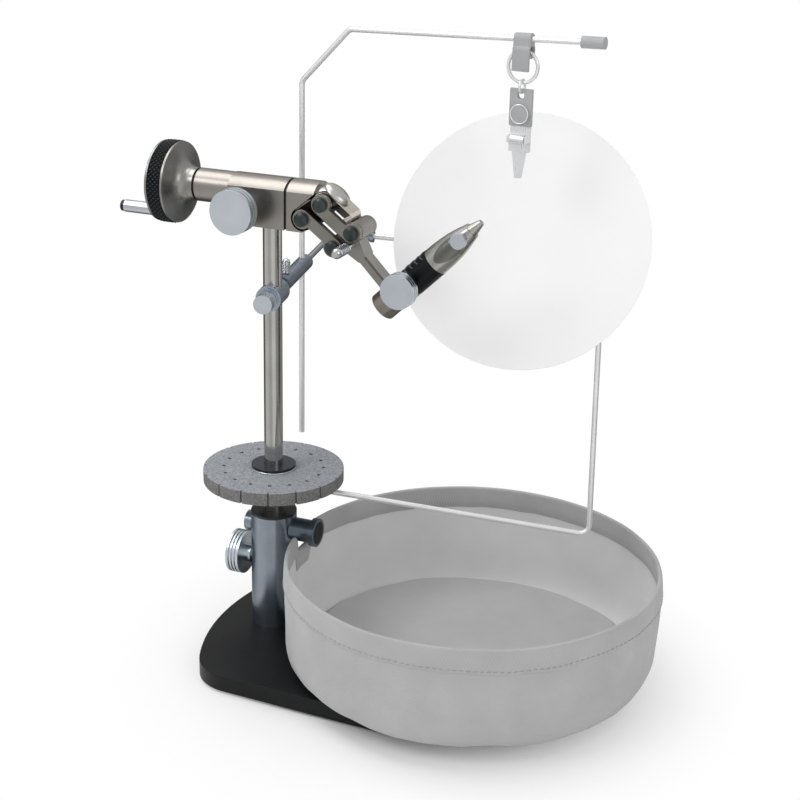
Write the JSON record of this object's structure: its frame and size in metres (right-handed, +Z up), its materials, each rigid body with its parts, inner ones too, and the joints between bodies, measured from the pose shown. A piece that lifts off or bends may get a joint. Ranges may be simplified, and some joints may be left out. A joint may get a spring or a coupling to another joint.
{
  "type": "fly tying vise",
  "caption": "Rotary fly tying vise with cam jaws on a parallel link head, pedestal base, foam tool disc, thread gallows with clip, round background plate and soft waste bin.",
  "frame": {"origin": "under the pedestal's foot, on the axis of the stem", "axes": "+Z up along the stem, +X towards the jaws along the rotor's axis, +Y towards the accessory arm and the background plate"},
  "size_m": [0.2961, 0.2141, 0.3382],
  "materials": {
    "base_black": "satin",
    "rubber_black": "matt",
    "bolt_steel": "plain",
    "post_blue": "anodised blue-grey",
    "knob_metal": "turned, clear anodised",
    "sleeve_black": "matt",
    "stem_steel": "polished",
    "collar_dark": "blackened",
    "foam": "closed-cell foam, matt",
    "hub_dark": "black anodised",
    "nickel": "satin nickel",
    "washer_dark": "matt",
    "pad_white": "plain",
    "wheel_face": "satin turned",
    "wheel_band": "black, knurled",
    "link_steel": "satin",
    "cap_dark": "blackened, domed",
    "spring_steel": "bright",
    "screw_chrome": "polished",
    "arm_steel": "satin",
    "jaw_steel": "satin hardened",
    "grip_black": "matt",
    "acc_blue": "blue-grey",
    "wire_steel": "bright",
    "cap_grey": "satin",
    "strap_grey": "smooth strap",
    "clip_steel": "pressed, bright",
    "disc_white": "opal, satin",
    "clip_clear": "satin",
    "bin_cloth": "woven"
  },
  "bodies": {
    "pedestal": {"base_plate": "base_black", "base_pad": "rubber_black", "base_bolt": "bolt_steel", "socket_post": "post_blue", "bin_stud": "hub_dark", "post_plug": "post_blue"},
    "stem_clamp_screw": {"clamp_knob": "knob_metal"},
    "turret": {"socket_sleeve": "sleeve_black"},
    "column": {"stem": "stem_steel", "support_collar": "collar_dark", "grub_screws": "collar_dark", "head_housing": "nickel", "shaft_bushes": "washer_dark", "tension_pad": "pad_white"},
    "tension_screw": {"tension_knob": "knob_metal"},
    "rotor": {"rotor_shaft": "stem_steel", "rotor_washers": "washer_dark", "rotor_block": "nickel", "rotor_nose": "nickel", "head_pins": "cap_dark", "hand_wheel": "wheel_face", "wheel_grip": "wheel_band", "crank_pin": "collar_dark"},
    "crank": {"crank_handle": "screw_chrome"},
    "upper_link": {"upper_links": "link_steel", "leaf_spring": "spring_steel"},
    "lower_link": {"lower_links": "link_steel"},
    "jaw_arm": {"arm": "arm_steel", "arm_pins": "cap_dark", "jaw_body": "jaw_steel", "grip_sleeve": "grip_black", "jaw_front": "jaw_steel"},
    "pin_lock": {"lock_screw": "screw_chrome"},
    "cam": {"cam_knob": "knob_metal"},
    "moving_jaw": {"jaw_rear": "jaw_steel"},
    "hook_size_screw": {"size_knob": "knob_metal"},
    "tool_disc": {"tool_foam": "foam", "disc_hub": "hub_dark", "disc_washer": "sleeve_black"},
    "plate_frame": {"frame_wire": "wire_steel", "frame_cap": "acc_blue"},
    "plate": {"background_plate": "disc_white", "plate_clips": "clip_clear"},
    "accessory_clamp": {"arm_clamp": "acc_blue"},
    "accessory_clamp_screw": {"arm_clamp_knob": "knob_metal"},
    "accessory_arm": {"arm_tube": "acc_blue"},
    "arm_screw": {"arm_thumb_screw": "screw_chrome"},
    "wire_lock": {"wire_lock_screw": "screw_chrome"},
    "gallows": {"gallows_wire": "wire_steel", "gallows_cap": "cap_grey"},
    "runner": {"runner_tab": "strap_grey"},
    "ring": {"key_ring": "wire_steel"},
    "clip": {"jump_ring": "wire_steel", "clip_strap": "strap_grey", "clip_rear_jaw": "clip_steel"},
    "clip_jaw": {"clip_front_jaw": "clip_steel"},
    "waste_bin": {"bin_fabric": "bin_cloth", "bin_hem": "bin_cloth"}
  },
  "joints": [
    {"name": "stem_clamp_turn", "type": "hinge", "parent": "pedestal", "child": "stem_clamp_screw", "pos_m": [-0.0197, 0, 0.0476], "axis": [1, 0, 0], "range_deg": [0, 270]},
    {"name": "turret_turn", "type": "hinge", "parent": "pedestal", "child": "turret", "pos_m": [0, 0, 0.0558], "axis": [0, 0, 1], "range_deg": [-180, 180]},
    {"name": "stem_height", "type": "slide", "parent": "turret", "child": "column", "axis": [0, 0, 1], "range_m": [0, 0.03]},
    {"name": "tension_turn", "type": "hinge", "parent": "column", "child": "tension_screw", "pos_m": [-0.01, -0.0215, 0.2474], "axis": [0, 1, 0], "range_deg": [0, 270]},
    {"name": "rotor_spin", "type": "hinge", "parent": "column", "child": "rotor", "pos_m": [0, 0, 0.2533], "axis": [1, 0, 0], "continuous": true},
    {"name": "crank_spin", "type": "hinge", "parent": "rotor", "child": "crank", "pos_m": [-0.0715, -0.01142, 0.24017], "axis": [1, 0, 0], "continuous": true},
    {"name": "link_swing", "type": "hinge", "parent": "rotor", "child": "upper_link", "pos_m": [0.0319, 0, 0.2524], "axis": [0, 1, 0], "range_deg": [-4, 18]},
    {"name": "lower_link_swing", "type": "hinge", "parent": "rotor", "child": "lower_link", "pos_m": [0.02167, 0, 0.2439], "axis": [0, 1, 0], "range_deg": [-4, 18]},
    {"name": "arm_level", "type": "hinge", "parent": "upper_link", "child": "jaw_arm", "pos_m": [0.04896, 0, 0.23973], "axis": [0, 1, 0], "range_deg": [-18, 4]},
    {"name": "pin_lock_turn", "type": "hinge", "parent": "jaw_arm", "child": "pin_lock", "pos_m": [0.04773, -0.0147, 0.23288], "axis": [0, 1, 0], "range_deg": [0, 180]},
    {"name": "cam_turn", "type": "hinge", "parent": "jaw_arm", "child": "cam", "pos_m": [0.07705, -0.0139, 0.21494], "axis": [0, 1, 0], "range_deg": [0, 120]},
    {"name": "jaw_open", "type": "hinge", "parent": "jaw_arm", "child": "moving_jaw", "pos_m": [0.09085, 0, 0.22836], "axis": [-0.6972, 0, 0.7169], "range_deg": [0, 3]},
    {"name": "hook_size_turn", "type": "hinge", "parent": "jaw_arm", "child": "hook_size_screw", "pos_m": [0.10465, -0.0058, 0.24179], "axis": [0, 1, 0], "range_deg": [0, 270]},
    {"name": "disc_turn", "type": "hinge", "parent": "column", "child": "tool_disc", "pos_m": [0, 0, 0.0985], "axis": [0, 0, 1], "continuous": true},
    {"name": "frame_swing", "type": "hinge", "parent": "column", "child": "plate_frame", "pos_m": [0, 0, 0.08985], "axis": [0, 0, 1], "range_deg": [0, 20]},
    {"name": "plate_tilt", "type": "hinge", "parent": "plate_frame", "child": "plate", "pos_m": [0.11313, 0.06663, 0.22054], "axis": [0.981, 0.1925, -0.0262], "range_deg": [0, 12]},
    {"name": "accessory_swing", "type": "hinge", "parent": "column", "child": "accessory_clamp", "pos_m": [0, 0, 0.199], "axis": [0, 0, 1], "range_deg": [-25, 4]},
    {"name": "accessory_clamp_turn", "type": "hinge", "parent": "accessory_clamp", "child": "accessory_clamp_screw", "pos_m": [0.00274, -0.01424, 0.199], "axis": [-0.1891, 0.982, 0], "range_deg": [0, 270]},
    {"name": "arm_reach", "type": "slide", "parent": "accessory_clamp", "child": "accessory_arm", "axis": [-0.1891, 0.982, 0], "range_m": [-0.008, 0.004]},
    {"name": "arm_screw_turn", "type": "hinge", "parent": "accessory_arm", "child": "arm_screw", "pos_m": [-0.0051, 0.0265, 0.207], "axis": [0, 0, 1], "range_deg": [0, 270]},
    {"name": "wire_lock_turn", "type": "hinge", "parent": "accessory_arm", "child": "wire_lock", "pos_m": [-0.01704, 0.0885, 0.199], "axis": [-0.1891, 0.982, 0], "range_deg": [0, 180]},
    {"name": "gallows_swing", "type": "hinge", "parent": "accessory_arm", "child": "gallows", "pos_m": [-0.01135, 0.05892, 0.2], "axis": [0, 0, 1], "range_deg": [-90, 0]},
    {"name": "runner_slide", "type": "slide", "parent": "gallows", "child": "runner", "axis": [0.994, -0.1045, 0.0332], "range_m": [-0.06, 0.02]},
    {"name": "ring_swing", "type": "hinge", "parent": "runner", "child": "ring", "pos_m": [0.11655, 0.04548, 0.32816], "axis": [0.9945, -0.1045, 0], "range_deg": [-35, 35]},
    {"name": "clip_swing", "type": "hinge", "parent": "ring", "child": "clip", "pos_m": [0.11655, 0.04548, 0.31216], "axis": [0.9945, -0.1045, 0], "range_deg": [-30, 30]},
    {"name": "clip_open", "type": "hinge", "parent": "clip", "child": "clip_jaw", "pos_m": [0.11628, 0.04294, 0.2842], "axis": [0.9945, -0.1045, 0], "range_deg": [-12, 0], "stiffness_Nm_per_rad": 0.15},
    {"name": "bin_slide", "type": "slide", "parent": "pedestal", "child": "waste_bin", "axis": [1, 0, 0], "range_m": [0, 0.06]}
  ],
  "couplings": [
    {"joint": "lower_link_swing", "follows": "link_swing", "ratio": 1},
    {"joint": "arm_level", "follows": "link_swing", "ratio": -1},
    {"joint": "jaw_open", "follows": "cam_turn", "ratio": 0.025}
  ]
}
